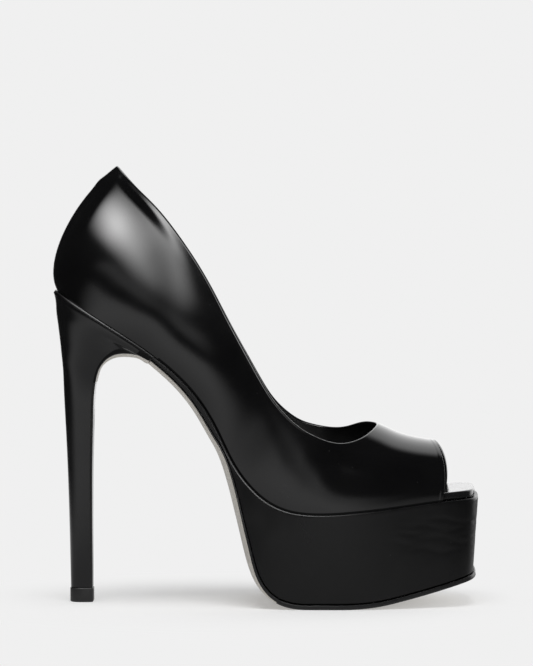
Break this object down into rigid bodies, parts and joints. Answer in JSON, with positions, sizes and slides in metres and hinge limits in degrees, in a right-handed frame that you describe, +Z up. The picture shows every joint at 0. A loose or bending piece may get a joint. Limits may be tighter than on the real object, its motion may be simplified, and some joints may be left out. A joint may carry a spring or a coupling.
{
  "type": "peep-toe platform stiletto pump",
  "caption": "Women's slip-on pump with an open peep toe, a thick wrapped platform under the forefoot, a steep arch and a tall slim stiletto heel; a hollow shiny leather upper.",
  "frame": {"origin": "on the floor, under the middle of the shoe's bounding box", "axes": "+X towards the toe, +Y towards the inner side of the foot, +Z up"},
  "size_m": [0.2072, 0.0772, 0.2123],
  "materials": {
    "upper_leather": "high-shine black box leather",
    "insole_leather": "smooth black lining leather",
    "platform_leather": "black leather wrap with a satin shine",
    "outsole_resin": "satin resin sole with a black edge and a pale greige underside",
    "heel_leather": "black leather wrap with a satin shine",
    "heel_tip_rubber": "hard matt black top piece"
  },
  "bodies": {
    "root": {"upper": "upper_leather", "insole": "insole_leather", "platform": "platform_leather", "outsole": "outsole_resin", "heel": "heel_leather", "heel_tip": "heel_tip_rubber"}
  },
  "joints": []
}
